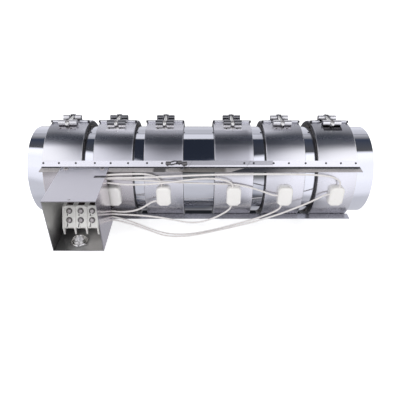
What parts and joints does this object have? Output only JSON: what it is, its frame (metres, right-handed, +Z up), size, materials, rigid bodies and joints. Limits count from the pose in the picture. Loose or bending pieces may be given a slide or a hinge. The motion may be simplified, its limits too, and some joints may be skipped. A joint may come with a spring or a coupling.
{
  "type": "band heater",
  "caption": "Row of clamp-on ceramic band heaters round a thin sheet carrier tube, with wiring rails, an open terminal box and heat-proof leads.",
  "frame": {"origin": "centre of the carrier tube's bore, halfway along the tube", "axes": "+X along the tube away from the terminal box, +Z up to the clamps, -Y to the side with the caps and the terminal box"},
  "size_m": [0.672, 0.312, 0.2172],
  "materials": {
    "tube_sheet": "bright rolled stainless sheet",
    "shell_sheet": "brushed stainless sheet",
    "tile_ceramic": "matt steatite",
    "winding_wire": "oxidised resistance wire",
    "clamp_sheet": "satin stainless sheet",
    "clamp_steel": "zinc-plated steel",
    "screw_steel": "zinc-plated steel",
    "cap_ceramic": "white glazed ceramic",
    "rail_sheet": "satin stainless sheet",
    "box_sheet": "satin stainless sheet",
    "plate_sheet": "satin stainless sheet",
    "block_ceramic": "cream ceramic",
    "terminal_metal": "nickel-plated brass",
    "gland_metal": "nickel-plated brass",
    "lead_sleeve": "woven glass-silk sleeve"
  },
  "bodies": {
    "heater": {"carrier_tube": "tube_sheet", "heating_windings": "winding_wire", "clamp_straps": "clamp_sheet", "clamp_bars": "clamp_steel", "upper_rail_left": "rail_sheet", "upper_rail_middle": "rail_sheet", "upper_rail_right": "rail_sheet", "lower_rail": "rail_sheet", "terminal_box": "box_sheet", "box_screws": "screw_steel", "mounting_plate": "plate_sheet", "terminal_block": "block_ceramic", "terminal_screws": "terminal_metal", "cable_gland": "gland_metal", "gland_locknut": "gland_metal", "band_1_shell": "shell_sheet", "band_1_tiles": "tile_ceramic", "band_1_terminal_cap": "cap_ceramic", "band_2_shell": "shell_sheet", "band_2_tiles": "tile_ceramic", "band_2_terminal_cap": "cap_ceramic", "band_3_shell": "shell_sheet", "band_3_tiles": "tile_ceramic", "band_3_terminal_cap": "cap_ceramic", "band_4_shell": "shell_sheet", "band_4_tiles": "tile_ceramic", "band_4_terminal_cap": "cap_ceramic", "band_5_shell": "shell_sheet", "band_5_tiles": "tile_ceramic", "band_5_terminal_cap": "cap_ceramic", "band_6_shell": "shell_sheet", "band_6_tiles": "tile_ceramic", "band_6_terminal_cap": "cap_ceramic", "lead_3_upper": "lead_sleeve", "lead_4_upper": "lead_sleeve", "lead_5_upper": "lead_sleeve", "lead_6_upper": "lead_sleeve", "lead_3_lower": "lead_sleeve", "lead_4_lower": "lead_sleeve", "lead_5_lower": "lead_sleeve", "lead_6_lower": "lead_sleeve"},
    "band_1_washer": {"band_1_clamp_washer": "clamp_steel"},
    "band_1_screw": {"band_1_clamp_screw": "screw_steel"},
    "band_2_washer": {"band_2_clamp_washer": "clamp_steel"},
    "band_2_screw": {"band_2_clamp_screw": "screw_steel"},
    "band_3_washer": {"band_3_clamp_washer": "clamp_steel"},
    "band_3_screw": {"band_3_clamp_screw": "screw_steel"},
    "band_4_washer": {"band_4_clamp_washer": "clamp_steel"},
    "band_4_screw": {"band_4_clamp_screw": "screw_steel"},
    "band_5_washer": {"band_5_clamp_washer": "clamp_steel"},
    "band_5_screw": {"band_5_clamp_screw": "screw_steel"},
    "band_6_washer": {"band_6_clamp_washer": "clamp_steel"},
    "band_6_screw": {"band_6_clamp_screw": "screw_steel"}
  },
  "joints": [
    {"name": "band_1_washer_slide", "type": "slide", "parent": "heater", "child": "band_1_washer", "axis": [0, 0.9962, -0.0872], "range_m": [0, 0.01]},
    {"name": "band_1_screw_turn", "type": "hinge", "parent": "band_1_washer", "child": "band_1_screw", "pos_m": [-0.265, 0.02627, 0.10537], "axis": [0, 0.9962, -0.0872], "range_deg": [0, 3601]},
    {"name": "band_2_washer_slide", "type": "slide", "parent": "heater", "child": "band_2_washer", "axis": [0, 0.9962, -0.0872], "range_m": [0, 0.01]},
    {"name": "band_2_screw_turn", "type": "hinge", "parent": "band_2_washer", "child": "band_2_screw", "pos_m": [-0.1687, 0.02627, 0.10537], "axis": [0, 0.9962, -0.0872], "range_deg": [0, 3601]},
    {"name": "band_3_washer_slide", "type": "slide", "parent": "heater", "child": "band_3_washer", "axis": [0, 0.9962, -0.0872], "range_m": [0, 0.01]},
    {"name": "band_3_screw_turn", "type": "hinge", "parent": "band_3_washer", "child": "band_3_screw", "pos_m": [-0.0724, 0.02627, 0.10537], "axis": [0, 0.9962, -0.0872], "range_deg": [0, 3601]},
    {"name": "band_4_washer_slide", "type": "slide", "parent": "heater", "child": "band_4_washer", "axis": [0, 0.9962, -0.0872], "range_m": [0, 0.01]},
    {"name": "band_4_screw_turn", "type": "hinge", "parent": "band_4_washer", "child": "band_4_screw", "pos_m": [0.063, 0.02627, 0.10537], "axis": [0, 0.9962, -0.0872], "range_deg": [0, 3601]},
    {"name": "band_5_washer_slide", "type": "slide", "parent": "heater", "child": "band_5_washer", "axis": [0, 0.9962, -0.0872], "range_m": [0, 0.01]},
    {"name": "band_5_screw_turn", "type": "hinge", "parent": "band_5_washer", "child": "band_5_screw", "pos_m": [0.1622, 0.02627, 0.10537], "axis": [0, 0.9962, -0.0872], "range_deg": [0, 3601]},
    {"name": "band_6_washer_slide", "type": "slide", "parent": "heater", "child": "band_6_washer", "axis": [0, 0.9962, -0.0872], "range_m": [0, 0.01]},
    {"name": "band_6_screw_turn", "type": "hinge", "parent": "band_6_washer", "child": "band_6_screw", "pos_m": [0.2614, 0.02627, 0.10537], "axis": [0, 0.9962, -0.0872], "range_deg": [0, 3601]}
  ],
  "couplings": [
    {"joint": "band_1_screw_turn", "follows": "band_1_washer_slide", "rad_per_m": 6283.2},
    {"joint": "band_2_screw_turn", "follows": "band_2_washer_slide", "rad_per_m": 6283.2},
    {"joint": "band_3_screw_turn", "follows": "band_3_washer_slide", "rad_per_m": 6283.2},
    {"joint": "band_4_screw_turn", "follows": "band_4_washer_slide", "rad_per_m": 6283.2},
    {"joint": "band_5_screw_turn", "follows": "band_5_washer_slide", "rad_per_m": 6283.2},
    {"joint": "band_6_screw_turn", "follows": "band_6_washer_slide", "rad_per_m": 6283.2}
  ]
}
